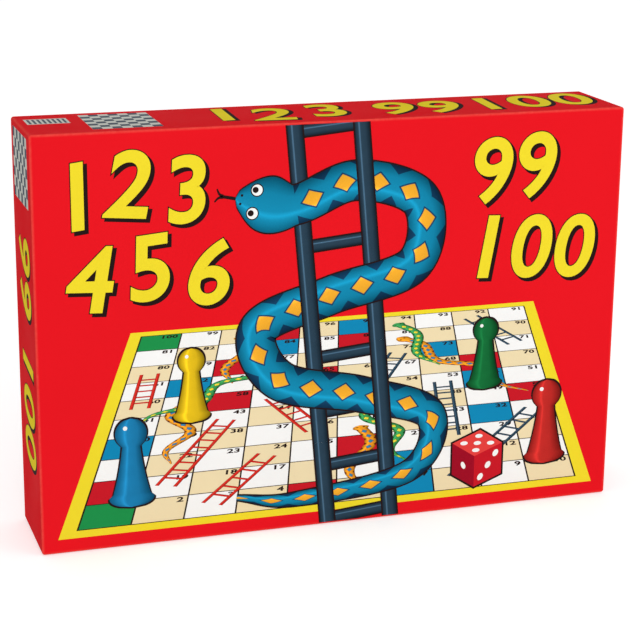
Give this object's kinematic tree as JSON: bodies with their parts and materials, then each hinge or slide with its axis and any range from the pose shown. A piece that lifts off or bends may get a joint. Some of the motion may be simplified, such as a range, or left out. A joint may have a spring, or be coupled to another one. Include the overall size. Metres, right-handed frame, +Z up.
{
  "type": "boxed snakes and ladders game",
  "caption": "Red covered cardboard game box standing on its long edge, with a lift-off lid over a base that holds a folding snakes and ladders board, wooden pawns, a die and a leaflet.",
  "frame": {"origin": "middle of the lid's lower long wall, on the ground that the box stands on", "axes": "+X along the box's long side, +Y from the lid's face to the base's back, +Z up; the lid's face looks along -Y"},
  "size_m": [0.375, 0.065, 0.258],
  "materials": {
    "cover_paper": "printed cover paper, gloss varnished",
    "greyboard": "bare greyboard",
    "stay_tape": "kraft paper tape",
    "insert_card": "white-lined card, uncoated",
    "board_face": "printed sheet, satin varnished",
    "board_lining": "uncoated lining paper",
    "rules_leaflet": "uncoated white paper",
    "pawn_red": "turned wood, gloss paint",
    "pawn_blue": "turned wood, gloss paint",
    "pawn_green": "turned wood, gloss paint",
    "pawn_yellow": "turned wood, gloss paint",
    "die": "polished plastic with white pips"
  },
  "bodies": {
    "base": {"base_greyboard": "greyboard", "base_cover_paper": "cover_paper", "base_corner_stay_1": "stay_tape", "base_corner_stay_2": "stay_tape", "base_corner_stay_3": "stay_tape", "base_corner_stay_4": "stay_tape", "insert_card": "insert_card"},
    "leaflet": {"rules_leaflet": "rules_leaflet"},
    "lid": {"lid_greyboard": "greyboard", "lid_cover_paper": "cover_paper", "lid_corner_stay_1": "stay_tape", "lid_corner_stay_2": "stay_tape", "lid_corner_stay_3": "stay_tape", "lid_corner_stay_4": "stay_tape"},
    "board_rear": {"board_rear_panel": "greyboard", "board_rear_face_sheet": "board_face", "board_rear_back_lining": "board_lining"},
    "board_front": {"board_front_panel": "greyboard", "board_front_face_sheet": "board_face", "board_front_back_lining": "board_lining"},
    "pawn_red": {"pawn_red": "pawn_red"},
    "pawn_blue": {"pawn_blue": "pawn_blue"},
    "pawn_green": {"pawn_green": "pawn_green"},
    "pawn_yellow": {"pawn_yellow": "pawn_yellow"},
    "die": {"die": "die"}
  },
  "joints": [
    {"name": "unpack", "type": "slide", "parent": "base", "child": "leaflet", "axis": [0, -1, 0], "range_m": [0, 0.75]},
    {"name": "lid_lift", "type": "slide", "parent": "leaflet", "child": "lid", "axis": [0, -1, 0], "range_m": [0, 0.25]},
    {"name": "board_lift", "type": "slide", "parent": "base", "child": "board_rear", "axis": [0, -1, 0], "range_m": [0, 0.12]},
    {"name": "board_fold", "type": "hinge", "parent": "board_rear", "child": "board_front", "pos_m": [0, -0.02645, 0.18025], "axis": [-1, 0, 0], "range_deg": [0, 180]},
    {"name": "pawn_red_lift", "type": "slide", "parent": "base", "child": "pawn_red", "axis": [0, -1, 0], "range_m": [0, 0.06]},
    {"name": "pawn_blue_lift", "type": "slide", "parent": "base", "child": "pawn_blue", "axis": [0, -1, 0], "range_m": [0, 0.06]},
    {"name": "pawn_green_lift", "type": "slide", "parent": "base", "child": "pawn_green", "axis": [0, -1, 0], "range_m": [0, 0.06]},
    {"name": "pawn_yellow_lift", "type": "slide", "parent": "base", "child": "pawn_yellow", "axis": [0, -1, 0], "range_m": [0, 0.06]},
    {"name": "die_lift", "type": "slide", "parent": "base", "child": "die", "axis": [0, -1, 0], "range_m": [0, 0.06]}
  ],
  "couplings": [
    {"joint": "board_lift", "follows": "unpack", "ratio": 0.16},
    {"joint": "board_fold", "follows": "unpack", "rad_per_m": 4.1888},
    {"joint": "pawn_red_lift", "follows": "unpack", "ratio": 0.08},
    {"joint": "pawn_blue_lift", "follows": "unpack", "ratio": 0.08},
    {"joint": "pawn_green_lift", "follows": "unpack", "ratio": 0.08},
    {"joint": "pawn_yellow_lift", "follows": "unpack", "ratio": 0.08},
    {"joint": "die_lift", "follows": "unpack", "ratio": 0.08}
  ]
}
